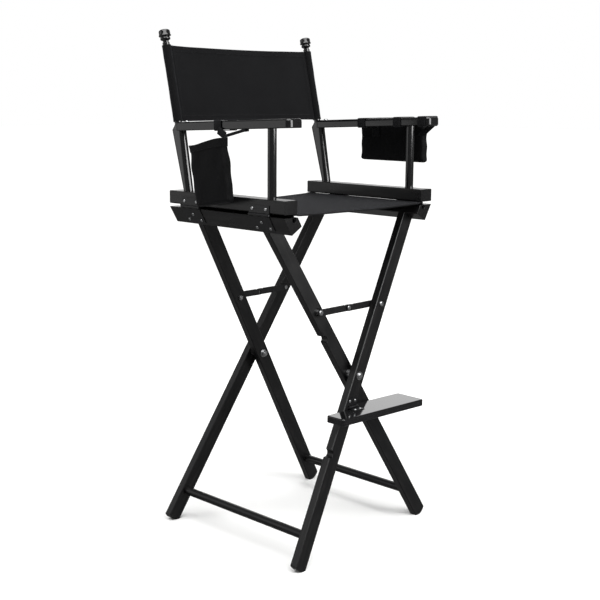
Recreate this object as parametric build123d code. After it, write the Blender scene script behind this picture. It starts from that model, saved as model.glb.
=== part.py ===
from build123d import *
import os
from math import atan, cos, degrees, radians, sin, tan

os.makedirs("parts", exist_ok=True)

# A bar-height folding director's chair. X runs across the chair, -Y is its front, +Z is up and z = 0
# is the floor. side = +1 is the right side as seen from the front, -1 the left. end = -1 is the front
# of the chair, +1 its back. All sizes are in millimetres and degrees.

# ---- seat rails and the hinge line under them ----
RAIL_TOP = 785.0
RAIL_HEIGHT = 28.5
RAIL_WIDTH = 38.0
RAIL_OUTER_X = 241.0
RAIL_LENGTH = 362.0
RAIL_BOTTOM = RAIL_TOP - RAIL_HEIGHT
RAIL_MID_X = RAIL_OUTER_X - RAIL_WIDTH / 2
HINGE_X = RAIL_OUTER_X + 1.5
HINGE_Z = RAIL_BOTTOM - 3.5

# ---- leg frames: two trapezoid frames crossed in an X, hinged to each other at half height ----
PIVOT_Z = 381.5
LEG_SLOPE = 0.596                      # sideways run of a leg for each unit of height
LEAN = degrees(atan(LEG_SLOPE))
LEG_WIDTH = 34.2
LEG_THICK = 18.2
LEG_GAP = 13.6                         # between an outer leg and the inner leg beside it
OUTER_FACE_Y = 179.3                   # outer face of the outer legs, at the pivot
SPLAY = 0.088                          # how fast the legs spread front to back towards the floor
SPLAY_ANGLE = degrees(atan(SPLAY))
LEG_EDGE = 2.0
FOOT_RADIUS = 28.0
FOOT_FLAT = 0.7                        # how much of the round foot is cut flat
LEG_RAIL_DEPTH = 43.0
LEG_RAIL_TOP = RAIL_BOTTOM - 6.8
TENON = (22.0, 9.0, 15.0)
STRETCHER_RADIUS = 9.5
STRETCHER_Z = 66.0
STRETCHER_SOCKET = 10.0
NOTCH_RADIUS = 9.0
BRACE_REACH = 174.0                    # from the pivot to a brace pin, along the leg

# ---- bolts, braces and screws ----
PIVOT_BOLT_RADIUS = 4.0
BRACE_BOLT_RADIUS = 3.0
RUNNING_GAP = 0.08
SIDE_GAP = 0.3
SPOTFACE_DEPTH = 0.9
LINK_WIDTH = 15.0
LINK_THICK = 2.0
LINK_OUTER_Y = 145.3                   # outer face of the outer brace links
LINK_STEP = 2.3

# ---- arms, posts and finials ----
POST_X = 224.0
FRONT_POST_Y = -128.5
FRONT_POST_RADIUS = 9.5
POST_SOCKET = 20.0
BACK_POST_Y = 135.3                    # where the back post leaves the seat rail
BACK_LEAN = 12.7
POST_FOOT = 21.4
POST_SHOULDER = (20.0, 35.0)
SHOULDER_AT = 140.0                    # along the back post, from the rail's top
SLEEVE_FROM = 156.0
SLEEVE_TO = 326.0
POST_END = 332.0
UPPER_POST_RADIUS = 8.0
ARM_WIDTH = 43.0
ARM_THICK = 19.0
ARM_FRONT_Y = -198.0
ARM_REAR_Y = 157.0
ARM_BOTTOM_Z = 924.0                   # at the middle of the arm's length
ARM_TILT = 2.3

# ---- canvas ----
SEAT_CANVAS_THICK = 2.0
SEAT_DOWEL_RADIUS = 3.5
SEAT_DOWEL_Z = LEG_RAIL_TOP - 5.8
SEAT_DOWEL_X = 212.0
GROOVE_WIDTH = 11.0
BACK_CANVAS_THICK = 2.0
HEM = 1.3

# ---- footrest ----
FOOTREST_TOP = 314.5                   # at the hinge
FOOTREST_THICK = 15.5
FOOTREST_LEFT = -118.0
FOOTREST_RIGHT = 158.0
FOOTREST_FRONT_Y = -238.0
FOOTREST_STEP_X = -8.0
FOOTREST_REAR_Y = -161.5               # back edge of the deeper, right-hand part
FOOTREST_CORNER = 6.0
FOOTREST_DROOP = 1.6                   # the board hangs from one hinge, its far end a little low
REST_HINGE_X = -29.0
REST_HINGE_LENGTH = 30.0
REST_SEAT_Y = -183.6                   # flat seat cut for the fixed leaf in the outer front leg
REST_PIN_OFFSET = 3.5                  # from the pin's middle to the wood on both sides of it
REST_LEAF = 20.0

# ---- bags ----
BAG_WALL = 2.0
LEFT_BAG = (25.0, 108.0, 136.0)
LEFT_BAG_PLACE = (-268.0, 13.5, 833.0)
LEFT_BAG_TILT = 9.5
RIGHT_BAG = (25.0, 196.0, 104.0)
RIGHT_BAG_PLACE = (268.0, -43.0, 893.0)

CENTRE_SHIFT_Y = 5.75                  # puts the middle of the whole chair's length on y = 0


# ---- helpers ----

def box_between(x, y, z):
    """A block from its lowest to its highest corner, each axis given as a pair."""
    size = [b - a for a, b in (x, y, z)]
    middle = [(a + b) / 2 for a, b in (x, y, z)]
    return Pos(*middle) * Box(*size)


def rod_y(x, z, y_from, y_to, radius):
    """A round bar along Y."""
    low, high = min(y_from, y_to), max(y_from, y_to)
    return Pos(x, (low + high) / 2, z) * Rot(90, 0, 0) * Cylinder(radius, high - low)


def soften(part, radius, axis=None):
    """Round the edges of a bar: those along one axis, or all of them."""
    edges = part.edges() if axis is None else part.edges().filter_by(axis)
    return fillet(edges, radius)


def save(name, shapes):
    """Write one node, moved so that the chair's middle is at the origin."""
    placed = []
    for shape in shapes:
        placed.extend((Pos(0, CENTRE_SHIFT_Y, 0) * shape).solids())
    whole = placed[0] if len(placed) == 1 else Compound(children=placed)
    export_step(whole, f"parts/{name}.step")


def pan_screw(head_radius, head_height, shank_radius, length):
    """A wood screw along -Z with its head on z = 0 and a cross cut in the head."""
    head = Cylinder(head_radius, head_height, align=(Align.CENTER, Align.CENTER, Align.MIN))
    head = fillet(head.edges().sort_by(Axis.Z)[-1], head_height * 0.8)
    slot = Pos(0, 0, head_height) * Box(head_radius * 1.1, 0.9, head_height)
    shank = Cylinder(shank_radius, length, align=(Align.CENTER, Align.CENTER, Align.MAX))
    return head - slot - Rot(0, 0, 90) * slot + shank


def frame_place(side):
    """The leaning plane of a leg frame: its own Z runs up the legs and its origin is the pivot."""
    return Pos(0, 0, PIVOT_Z) * Rot(0, side * LEAN, 0)


def up_frame(z):
    """Distance along a leg's middle line from the pivot to a height above the floor."""
    return (z - PIVOT_Z) / cos(radians(LEAN))


def leg_mid_y(inner):
    """Distance of a leg's middle from the chair's middle, at the pivot."""
    step = LEG_THICK + LEG_GAP if inner else 0
    return OUTER_FACE_Y - LEG_THICK / 2 - step


def face_y(inner, outward, u):
    """Distance of a leg's outward or inward face from the chair's middle, at u along the leg."""
    half = LEG_THICK / 2 if outward else -LEG_THICK / 2
    return leg_mid_y(inner) + half - SPLAY * u


# ---- leg frames ----

def rail_corner():
    """Place in a frame's own plane of the leg rail's outer top corner."""
    rise = LEG_RAIL_TOP - PIVOT_Z
    lean = radians(LEAN)
    across = RAIL_OUTER_X * cos(lean) - rise * sin(lean)
    up = RAIL_OUTER_X * sin(lean) + rise * cos(lean)
    return across, up


def leg_holes(inner, end):
    """Bolt holes through a leg with a flat seat at each mouth, in the frame's own plane."""
    outward = face_y(inner, True, 0) - SPOTFACE_DEPTH
    inward = face_y(inner, False, 0) + SPOTFACE_DEPTH
    cuts = []
    for u, radius, seat in ((0, PIVOT_BOLT_RADIUS, 10.5), (BRACE_REACH, BRACE_BOLT_RADIUS, 8.5)):
        gap = RUNNING_GAP if inner and u == 0 else 0
        shift = SPLAY * u
        cuts.append(rod_y(0, u, end * (outward + 9), end * (inward - 9 - shift), radius + gap))
        cuts.append(rod_y(0, u, end * (outward - shift), end * (outward - shift + 6), seat))
        cuts.append(rod_y(0, u, end * (inward - shift), end * (inward - shift - 6), seat))
    return cuts


def make_leg(side, inner, end, notch_u=None):
    """One splayed leg with a tenon at its top and a rounded foot."""
    top = rail_corner()[1] - LEG_RAIL_DEPTH
    centre_z = FOOT_RADIUS - FOOT_FLAT
    foot_u = up_frame(centre_z)
    length = (top - foot_u) / cos(radians(SPLAY_ANGLE)) + 80
    bar = soften(Box(LEG_WIDTH, LEG_THICK, length), LEG_EDGE, Axis.Z)
    middle_u = (top + foot_u) / 2
    middle_y = end * (leg_mid_y(inner) - SPLAY * middle_u)
    bar = Pos(0, middle_y, middle_u) * Rot(end * SPLAY_ANGLE, 0, 0) * bar
    reach = 400
    kept = box_between((-reach, reach), (-reach, reach), (foot_u, top))
    kept += rod_y(0, foot_u, -reach, reach, FOOT_RADIUS)
    bar = bar & kept
    tenon_y = end * (leg_mid_y(inner) - SPLAY * top)
    tenon = Pos(0, tenon_y, top + TENON[2] / 2) * Box(*TENON)
    bar = bar + tenon
    for cut in leg_holes(inner, end):
        bar -= cut
    if notch_u is not None:
        bar -= rod_y(-LEG_WIDTH / 2, notch_u, -reach, reach, NOTCH_RADIUS)
    stretcher_u = up_frame(STRETCHER_Z)
    inward = end * face_y(inner, False, stretcher_u)
    bar -= rod_y(0, stretcher_u, inward - end * 20, inward + end * STRETCHER_SOCKET, STRETCHER_RADIUS)
    leg = frame_place(side) * bar
    return leg - box_between((-reach, reach), (-reach, reach), (-60, 0))


def make_stretcher(side, inner):
    """The round bar between a frame's two legs, near the floor."""
    u = up_frame(STRETCHER_Z)
    half = face_y(inner, False, u) + STRETCHER_SOCKET
    bar = rod_y(0, u, -half, half, STRETCHER_RADIUS)
    return frame_place(side) * bar


def make_leg_rail(side, inner):
    """The bar along the top of a leg frame: level on top, grooved for the seat canvas's hem."""
    across, up = rail_corner()
    outer = side * across
    inner_x = side * (across - LEG_WIDTH)
    x_pair = (min(outer, inner_x), max(outer, inner_x))
    half = RAIL_LENGTH / 2
    bar = box_between(x_pair, (-half, half), (up - LEG_RAIL_DEPTH, up + 40))
    bar = soften(bar, LEG_EDGE, Axis.Y)
    for end in (-1, 1):
        tenon_y = end * (leg_mid_y(inner) - SPLAY * (up - LEG_RAIL_DEPTH))
        bar -= Pos(0, tenon_y, up - LEG_RAIL_DEPTH + TENON[2] / 2) * Box(*TENON)
    rail = frame_place(side) * bar
    reach = 500
    rail -= box_between((-reach, reach), (-reach, reach), (LEG_RAIL_TOP, RAIL_TOP + 100))
    groove_x = side * SEAT_DOWEL_X
    groove = (groove_x - GROOVE_WIDTH / 2, groove_x + GROOVE_WIDTH / 2)
    rail -= box_between(groove, (-reach, reach), (SEAT_DOWEL_Z, LEG_RAIL_TOP + 1))
    return rail - rod_y(groove_x, SEAT_DOWEL_Z, -reach, reach, GROOVE_WIDTH / 2)


# ---- pivot bolts and braces ----

def bolt(y_seat, y_end, u, end, radius, head_radius, head_height):
    """A dome-headed bolt along Y: the head stands outward of y_seat and the shank runs to y_end."""
    shank = rod_y(0, u, end * y_end, end * (y_seat + 1), radius)
    head = Cylinder(head_radius, head_height, align=(Align.CENTER, Align.CENTER, Align.MIN))
    head = fillet(head.edges().sort_by(Axis.Z)[-1], head_height * 0.7)
    turn = Rot(90, 0, 0) if end < 0 else Rot(-90, 0, 0)
    return shank + Pos(0, end * y_seat, u) * turn * head


def nut(y_seat, u, end, bore, across, height):
    """A hexagon nut standing inward of y_seat."""
    body = extrude(RegularPolygon(across / 2, 6, major_radius=False), height)
    body -= Cylinder(bore, 3 * height)
    turn = Rot(-90, 0, 0) if end < 0 else Rot(90, 0, 0)
    return Pos(0, end * y_seat, u) * turn * body


def washer(y_seat, u, end, bore, radius, height):
    """A flat washer standing outward of y_seat, or inward where height is negative."""
    ring = rod_y(0, u, end * y_seat, end * (y_seat + height), radius)
    return ring - rod_y(0, u, end * (y_seat - 9), end * (y_seat + 9), bore)


def pivot_hardware():
    """Bolts, washers, spacers and nuts at the two points where the frames cross."""
    place = frame_place(1)
    bolts, nuts, washers, spacers = [], [], [], []
    seat = face_y(False, True, 0) - SPOTFACE_DEPTH
    far = face_y(True, False, 0) + SPOTFACE_DEPTH - SIDE_GAP
    gap_out = face_y(False, False, 0) + SPOTFACE_DEPTH
    gap_in = face_y(True, True, 0) - SPOTFACE_DEPTH + SIDE_GAP
    for end in (-1, 1):
        bolts.append(place * bolt(seat + 1.5, far - 9, 0, end, PIVOT_BOLT_RADIUS, 7.0, 3.6))
        washers.append(place * washer(seat, 0, end, PIVOT_BOLT_RADIUS, 9.5, 1.5))
        washers.append(place * washer(far, 0, end, PIVOT_BOLT_RADIUS, 9.5, -1.5))
        nuts.append(place * nut(far - 1.5, 0, end, PIVOT_BOLT_RADIUS, 13.0, 6.0))
        tube = rod_y(0, 0, end * gap_in, end * gap_out, 10.0)
        spacers.append(place * (tube - rod_y(0, 0, -200, 200, PIVOT_BOLT_RADIUS)))
    return bolts, nuts, washers, spacers


def brace_link(side, end, y_outer):
    """A flat steel link from its leg's pin to the middle of the chair, level at rest."""
    pin_x = side * BRACE_REACH * sin(radians(LEAN))
    pin_z = PIVOT_Z + BRACE_REACH * cos(radians(LEAN))
    low, high = end * (y_outer - LINK_THICK), end * y_outer
    bar = box_between((min(0, pin_x), max(0, pin_x)), (min(low, high), max(low, high)),
                      (pin_z - LINK_WIDTH / 2, pin_z + LINK_WIDTH / 2))
    for x in (0, pin_x):
        bar += rod_y(x, pin_z, low, high, LINK_WIDTH / 2)
    bar -= rod_y(side * 11.0, pin_z + LINK_WIDTH / 2, -200, 200, 1.8)
    bar -= rod_y(pin_x, pin_z, -200, 200, BRACE_BOLT_RADIUS + RUNNING_GAP)
    return bar - rod_y(0, pin_z, -200, 200, BRACE_BOLT_RADIUS)


def outer_brace_pins():
    """Pins that hold the outer links on the outer legs: a dome head outside, a thin nut inside."""
    place = frame_place(1)
    bolts, nuts = [], []
    seat = face_y(False, True, BRACE_REACH) - SPOTFACE_DEPTH
    inner_face = LINK_OUTER_Y - LINK_THICK - 0.1
    for end in (-1, 1):
        bolts.append(place * bolt(seat, inner_face - 2.4, BRACE_REACH, end, BRACE_BOLT_RADIUS, 6.0, 3.2))
        nuts.append(place * nut(inner_face, BRACE_REACH, end, BRACE_BOLT_RADIUS, 9.0, 2.0))
    return bolts, nuts


def inner_brace_pins():
    """Pins that hold the inner links on the inner legs, each with a spacer tube behind the link."""
    place = frame_place(-1)
    bolts, nuts, spacers = [], [], []
    link_out = LINK_OUTER_Y - LINK_STEP + 0.1
    link_in = link_out - LINK_THICK - 0.2
    leg_seat = face_y(True, True, BRACE_REACH) - SPOTFACE_DEPTH
    leg_back = face_y(True, False, BRACE_REACH) + SPOTFACE_DEPTH
    for end in (-1, 1):
        bolts.append(place * bolt(link_out, leg_back - 6, BRACE_REACH, end, BRACE_BOLT_RADIUS, 6.0, 2.4))
        nuts.append(place * nut(leg_back, BRACE_REACH, end, BRACE_BOLT_RADIUS, 10.0, 4.5))
        tube = rod_y(0, BRACE_REACH, end * leg_seat, end * link_in, 6.0)
        spacers.append(place * (tube - rod_y(0, BRACE_REACH, -200, 200, BRACE_BOLT_RADIUS)))
    return bolts, nuts, spacers


def brace_rivet(end):
    """The rivet at the middle of a brace, carried by the outer link."""
    pin_z = PIVOT_Z + BRACE_REACH * cos(radians(LEAN))
    shank = rod_y(0, pin_z, end * LINK_OUTER_Y, end * (LINK_OUTER_Y - LINK_THICK), BRACE_BOLT_RADIUS)
    head = Cylinder(5.0, 1.6, align=(Align.CENTER, Align.CENTER, Align.MIN))
    head = fillet(head.edges().sort_by(Axis.Z)[-1], 1.2)
    turn = Rot(90, 0, 0) if end < 0 else Rot(-90, 0, 0)
    return shank + Pos(0, end * LINK_OUTER_Y, pin_z) * turn * head


# ---- butt hinges ----

LEAF_THICK = 1.5
KNUCKLE_RADIUS = 3.2
PIN_RADIUS = 1.5
HINGE_LENGTH = 60.0
HINGE_Y = 108.5
UPPER_LEAF = 20.0
LOWER_LEAF = 40.0
KNUCKLES = 5


def leaf(length, face, reach, up, own_first, bore):
    """A hinge leaf with its pin along Y at the origin and its plate on x = face .. face + thickness.

    The plate runs up or down the Z axis. Knuckles alternate between the two leaves of a hinge.
    """
    sign = 1 if up else -1
    root = KNUCKLE_RADIUS + 0.4
    z_pair = sorted((sign * root, sign * reach))
    plate = box_between((face, face + LEAF_THICK), (-length / 2, length / 2), z_pair)
    step = length / KNUCKLES
    for index in range(KNUCKLES):
        if (index % 2 == 0) != own_first:
            continue
        low = -length / 2 + index * step + 0.15
        high = low + step - 0.3
        barrel = rod_y(0, 0, low, high, KNUCKLE_RADIUS)
        neck = box_between((face, face + LEAF_THICK), (low, high), sorted((0, sign * (root + 0.1))))
        plate += barrel + neck
    return plate - rod_y(0, 0, -length, length, bore)


def leaf_screw_places(side, end, upper):
    """Where a seat hinge's screws sit on its leaves: a row of two above, a triangle of three below."""
    if upper:
        spots = [(-20.0, 11.8), (20.0, 11.8)]
    else:
        spots = [(0, -18.5), (-20.0, -33.0), (20.0, -33.0)]
    return [(y, z) for y, z in spots]


def hinge_place(side, end, upper):
    """The hinge's own frame: upright for the upper leaf, leaning with the legs for the lower."""
    spin = Rot(0, 0, 0) if upper else Rot(0, side * LEAN, 0)
    return Pos(side * HINGE_X, end * HINGE_Y, HINGE_Z) * spin


def plate_face(side, upper):
    """Inner face of a leaf's plate beside the pin, as an x in the hinge's own frame."""
    if upper:
        inner = RAIL_OUTER_X - HINGE_X
    else:
        lean = radians(LEAN)
        across, up = rail_corner()
        axis_across = HINGE_X * cos(lean) - (HINGE_Z - PIVOT_Z) * sin(lean)
        inner = across - axis_across
    return inner if side > 0 else -inner - LEAF_THICK


def screw_turn(side):
    """Turns a screw so that its head faces outward, away from the chair."""
    return Rot(0, 90, 0) if side > 0 else Rot(0, -90, 0)


def hinge_screws(side, upper):
    """The screws of one side's upper or lower leaves."""
    screws = []
    face = plate_face(side, upper)
    outer = face + LEAF_THICK if side > 0 else face
    for end in (-1, 1):
        for y, z in leaf_screw_places(side, end, upper):
            place = hinge_place(side, end, upper) * Pos(outer, y, z) * screw_turn(side)
            screws.append(place * pan_screw(3.6, 1.5, 1.7, 8.5 if upper else 15))
    return screws


def hinge_leaves(side, upper):
    """One side's two upper or two lower leaves, drilled for their screws."""
    leaves = []
    bore = PIN_RADIUS + RUNNING_GAP if upper else PIN_RADIUS
    reach = UPPER_LEAF if upper else LOWER_LEAF
    face = plate_face(side, upper)
    for end in (-1, 1):
        plate = leaf(HINGE_LENGTH, face, reach, upper, upper, bore)
        for y, z in leaf_screw_places(side, end, upper):
            plate -= Pos(face, y, z) * Rot(0, 90, 0) * Cylinder(1.7, 12)
        leaves.append(hinge_place(side, end, upper) * plate)
    return leaves


def hinge_pins(side):
    """The two pins that join one side to its leg frame."""
    half = HINGE_LENGTH / 2
    return [hinge_place(side, end, True) * rod_y(0, 0, -half, half, PIN_RADIUS) for end in (-1, 1)]


# ---- side assemblies ----

def post_place(side):
    """The back post's own frame: Z runs up the leaning post from the seat rail's top."""
    return Pos(side * POST_X, BACK_POST_Y, RAIL_TOP) * Rot(-BACK_LEAN, 0, 0)


def make_front_post(side):
    """A plain dowel from the seat rail up into the arm."""
    length = ARM_BOTTOM_Z + 14 - RAIL_TOP + POST_SOCKET
    post = Cylinder(FRONT_POST_RADIUS, length, align=(Align.CENTER, Align.CENTER, Align.MIN))
    return Pos(side * POST_X, FRONT_POST_Y, RAIL_TOP - POST_SOCKET) * post


def section(width, depth, radius, at):
    """A rounded outline across the back post."""
    return Pos(0, 0, at) * RectangleRounded(width, depth, radius)


def make_back_post(side):
    """Round at the rail, widest at the arm, and a thin dowel above it for the canvas sleeve."""
    foot = section(POST_FOOT, POST_FOOT, POST_FOOT / 2 - 0.05, 0)
    shoulder = section(*POST_SHOULDER, 8.5, SHOULDER_AT)
    neck_width = 2 * UPPER_POST_RADIUS
    neck = section(neck_width, neck_width, UPPER_POST_RADIUS - 0.05, SLEEVE_FROM - 6)
    body = loft([foot, shoulder], ruled=True) + loft([shoulder, neck], ruled=True)
    socket = Cylinder(POST_FOOT / 2 - 0.4, POST_SOCKET, align=(Align.CENTER, Align.CENTER, Align.MAX))
    body += Pos(0, 0, 0.5) * socket
    dowel_length = POST_END - SLEEVE_FROM + 7
    dowel = Cylinder(UPPER_POST_RADIUS, dowel_length, align=(Align.CENTER, Align.CENTER, Align.MAX))
    body += Pos(0, 0, POST_END) * dowel
    body -= Pos(0, 0, POST_END) * Cylinder(3.0, 24)
    return post_place(side) * body


def turned(bottom_radius, top_radius, low, high):
    """One straight-sided stretch of a turning, between two heights on its axis."""
    middle = Pos(0, 0, (low + high) / 2)
    if bottom_radius == top_radius:
        return middle * Cylinder(bottom_radius, high - low)
    return middle * Cone(bottom_radius, top_radius, high - low)


def make_finial(side):
    """A turned knob on the post: spigot, neck, bead, sharp ring, waisted drum and a low dome."""
    knob = turned(3.0, 3.0, -11, 0) + turned(6.5, 6.5, 0, 5)
    bead = turned(11.5, 11.5, 4, 13)
    knob += fillet(bead.edges(), 4.2)
    knob += turned(9.5, 9.5, 9, 14)
    knob += turned(12.5, 14.5, 13.6, 15.2) + turned(14.5, 12.3, 15.2, 16.8)
    knob += turned(12.0, 11.4, 16.8, 21.5) + turned(11.4, 12.6, 21.5, 27)
    dome = Pos(0, 0, 29.6 - 32.0) * Sphere(32.0)
    knob += dome & turned(12.6, 12.6, 27, 30)
    return post_place(side) * Pos(0, 0, POST_END) * knob


def arm_place(side):
    """The arm's own frame: its origin is the middle of its underside, tilted up to the front."""
    middle_y = (ARM_FRONT_Y + ARM_REAR_Y) / 2
    return Pos(side * POST_X, middle_y, ARM_BOTTOM_Z) * Rot(-ARM_TILT, 0, 0)


def make_arm(side, post, front_post):
    """A board with rounded corners, its rear end cut to fit round the back post."""
    length = ARM_REAR_Y - ARM_FRONT_Y
    outline = RectangleRounded(ARM_WIDTH, length, 11.0)
    board = extrude(outline, ARM_THICK)
    front_top = board.edges().group_by(Axis.Z)[-1]
    board = fillet(front_top, 5.0)
    board = fillet(board.edges().group_by(Axis.Z)[0], 2.0)
    return arm_place(side) * board - post - front_post


def arm_screw(side):
    """The dome-headed screw that ties the arm's rear end to the rail of the back post."""
    rear = (ARM_REAR_Y - ARM_FRONT_Y) / 2
    return arm_place(side) * Pos(0, rear - 18, ARM_THICK) * pan_screw(5.0, 3.0, 2.0, 14)


def make_seat_rail(side, post, front_post):
    """The upper rail, bored for the two posts that stand in it."""
    half = RAIL_LENGTH / 2
    rail = Pos(side * RAIL_MID_X, 0, RAIL_BOTTOM + RAIL_HEIGHT / 2) * Box(RAIL_WIDTH, RAIL_LENGTH, RAIL_HEIGHT)
    rail = soften(rail, 2.5, Axis.Y)
    return rail - post - front_post


def seat_dowel(side):
    """The dowel inside the seat canvas's hem."""
    half = RAIL_LENGTH / 2 - 4
    return rod_y(side * SEAT_DOWEL_X, SEAT_DOWEL_Z, -half, half, SEAT_DOWEL_RADIUS)


# ---- canvas ----

def make_seat_canvas():
    """The sling seat: a sheet between the rails with a hem round each dowel."""
    half = RAIL_LENGTH / 2 - 2
    level = RAIL_BOTTOM - 3.5
    low, high = level - SEAT_CANVAS_THICK / 2, level + SEAT_CANVAS_THICK / 2
    sheet = box_between((-SEAT_DOWEL_X - 1.5, SEAT_DOWEL_X + 1.5), (-half, half), (low, high))
    for side in (-1, 1):
        x = side * SEAT_DOWEL_X
        sheet += box_between((x - 1.5, x + 1.5), (-half, half), (SEAT_DOWEL_Z, high))
        sheet += rod_y(x, SEAT_DOWEL_Z, -half, half, SEAT_DOWEL_RADIUS + 0.1 + HEM)
        sheet -= rod_y(x, SEAT_DOWEL_Z, -half - 9, half + 9, SEAT_DOWEL_RADIUS + 0.1)
    return sheet


def make_back_canvas():
    """The back sling: a leaning sheet with a sleeve over each back post."""
    place = Pos(0, BACK_POST_Y, RAIL_TOP) * Rot(-BACK_LEAN, 0, 0)
    sheet = box_between((-POST_X, POST_X), (-BACK_CANVAS_THICK / 2, BACK_CANVAS_THICK / 2),
                        (SLEEVE_FROM, SLEEVE_TO))
    inside = UPPER_POST_RADIUS + 0.4
    for x in (-POST_X, POST_X):
        sleeve = Cylinder(inside + HEM, SLEEVE_TO - SLEEVE_FROM, align=(Align.CENTER, Align.CENTER, Align.MIN))
        sheet += Pos(x, 0, SLEEVE_FROM) * sleeve
    for x in (-POST_X, POST_X):
        sheet -= Pos(x, 0, SLEEVE_FROM + 50) * Cylinder(inside, 600)
    return place * sheet


# ---- footrest ----

REST_PIN_Y = REST_SEAT_Y - REST_PIN_OFFSET
REST_PIN_Z = FOOTREST_TOP + REST_PIN_OFFSET


def drooped(part):
    """Turns a part of the footrest about the hinge's middle, so that its right end hangs low."""
    return Pos(REST_HINGE_X, 0, REST_PIN_Z) * Rot(0, FOOTREST_DROOP, 0) * Pos(-REST_HINGE_X, 0, -REST_PIN_Z) * part


def footrest_board():
    """The board: it meets the outer front leg, and steps back beside it towards the inner one."""
    stop_y = -face_y(False, True, up_frame(FOOTREST_TOP - FOOTREST_THICK)) - 1.0
    outline = make_face(Polyline(
        (FOOTREST_LEFT, FOOTREST_FRONT_Y), (FOOTREST_RIGHT, FOOTREST_FRONT_Y),
        (FOOTREST_RIGHT, FOOTREST_REAR_Y), (FOOTREST_STEP_X, FOOTREST_REAR_Y),
        (FOOTREST_STEP_X, stop_y), (FOOTREST_LEFT, stop_y), close=True))
    outline = fillet(outline.vertices(), FOOTREST_CORNER)
    board = extrude(outline, FOOTREST_THICK)
    board = fillet(board.edges().group_by(Axis.Z)[-1], 2.5)
    board = fillet(board.edges().group_by(Axis.Z)[0], 2.0)
    return drooped(Pos(0, 0, FOOTREST_TOP - FOOTREST_THICK) * board)


def rest_leaf(fixed):
    """A leaf of the footrest's hinge, with its pin along Y at the origin and two screw holes."""
    face = REST_PIN_OFFSET - LEAF_THICK
    bore = PIN_RADIUS if fixed else PIN_RADIUS + RUNNING_GAP
    plate = leaf(REST_HINGE_LENGTH, face, REST_LEAF, True, fixed, bore)
    for y in (-8.5, 8.5):
        plate -= Pos(face, y, 13) * Rot(0, 90, 0) * Cylinder(1.6, 12)
    return plate


def rest_leaf_place(fixed):
    """Lays the leaf on its wood: upright against the leg, or flat on the board's top."""
    upright = Rot(0, 0, 90)
    flat = Rot(90, 0, 0) * Rot(0, 0, 90) * Rot(0, 0, 180)
    return drooped(Pos(REST_HINGE_X, REST_PIN_Y, REST_PIN_Z)) * (upright if fixed else flat)


def rest_screws(fixed):
    """The two screws of one leaf of the footrest's hinge."""
    face = REST_PIN_OFFSET - LEAF_THICK
    turn = Rot(0, -90, 0)
    return [rest_leaf_place(fixed) * Pos(face, y, 13) * turn * pan_screw(3.2, 1.3, 1.6, 11)
            for y in (-8.5, 8.5)]


def rest_pin():
    """The pin of the footrest's hinge."""
    half = REST_HINGE_LENGTH / 2
    return rest_leaf_place(True) * rod_y(0, 0, -half, half, PIN_RADIUS)


def rest_seat():
    """What is cut from the outer front leg so that the fixed leaf stands flat."""
    half = REST_HINGE_LENGTH / 2 + 0.4
    x_pair = (REST_HINGE_X - half, REST_HINGE_X + half)
    return drooped(box_between(x_pair, (-260, REST_SEAT_Y), (REST_PIN_Z - 4.2, REST_PIN_Z + REST_LEAF + 0.4)))


# ---- bags and their straps ----

STRAP_THICK = 1.6
STRAP_WIDTH = 16.0
STRAP_CLEAR = 0.4


def pouch(size):
    """An open-topped pouch centred on the origin."""
    x, y, z = size
    skin = soften(Box(x, y, z), 4.0, Axis.Z)
    inside = soften(Box(x - 2 * BAG_WALL, y - 2 * BAG_WALL, z), 2.5, Axis.Z)
    return skin - Pos(0, 0, BAG_WALL) * inside


def strap_loop(side, y, reach):
    """A webbing loop round the arm at y, reaching out to the bag's inner face."""
    left = -ARM_WIDTH / 2 - STRAP_CLEAR
    low, high = -STRAP_CLEAR, ARM_THICK + STRAP_CLEAR
    local_y = (y - (ARM_FRONT_Y + ARM_REAR_Y) / 2)
    half = STRAP_WIDTH / 2
    outer = box_between((left - STRAP_THICK, reach), (local_y - half, local_y + half),
                        (low - STRAP_THICK, high + STRAP_THICK))
    inner = box_between((left, reach - STRAP_THICK), (local_y - 2 * half, local_y + 2 * half), (low, high))
    loop = outer - inner
    if side < 0:
        loop = mirror(loop, Plane.YZ)
    return arm_place(side) * loop


def right_bag():
    """The wide bag on the right arm."""
    return Pos(*RIGHT_BAG_PLACE) * pouch(RIGHT_BAG)


def left_bag():
    """The narrow bag on the left arm, which hangs askew."""
    return Pos(*LEFT_BAG_PLACE) * Rot(-LEFT_BAG_TILT, 0, 0) * pouch(LEFT_BAG)


def left_tie():
    """The two strap ends that come down from the left arm and meet at the bag's top corner."""
    x = -(abs(LEFT_BAG_PLACE[0]) - LEFT_BAG[0] / 2)
    meet = (LEFT_BAG_PLACE[1] - 50, LEFT_BAG_PLACE[2] + 66)
    bands = []
    for y in LEFT_STRAP_YS:
        top = (y, ARM_BOTTOM_Z + 8)
        run, rise = top[0] - meet[0], top[1] - meet[1]
        length = (run * run + rise * rise) ** 0.5
        turn = degrees(atan(-run / rise))
        band = Box(STRAP_THICK, STRAP_WIDTH * 0.8, length + 4)
        middle = ((top[0] + meet[0]) / 2, (top[1] + meet[1]) / 2)
        bands.append(Pos(x + STRAP_THICK / 2, *middle) * Rot(turn, 0, 0) * band)
    return bands[0] + bands[1]


RIGHT_STRAP_YS = (3.0, -106.0, -178.0)
LEFT_STRAP_YS = (12.0, -72.0)
STRAP_REACH = abs(RIGHT_BAG_PLACE[0]) - RIGHT_BAG[0] / 2 - POST_X


# ---- build every node ----

side_names = {1: "right", -1: "left"}
end_names = {-1: "front", 1: "back"}

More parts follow.
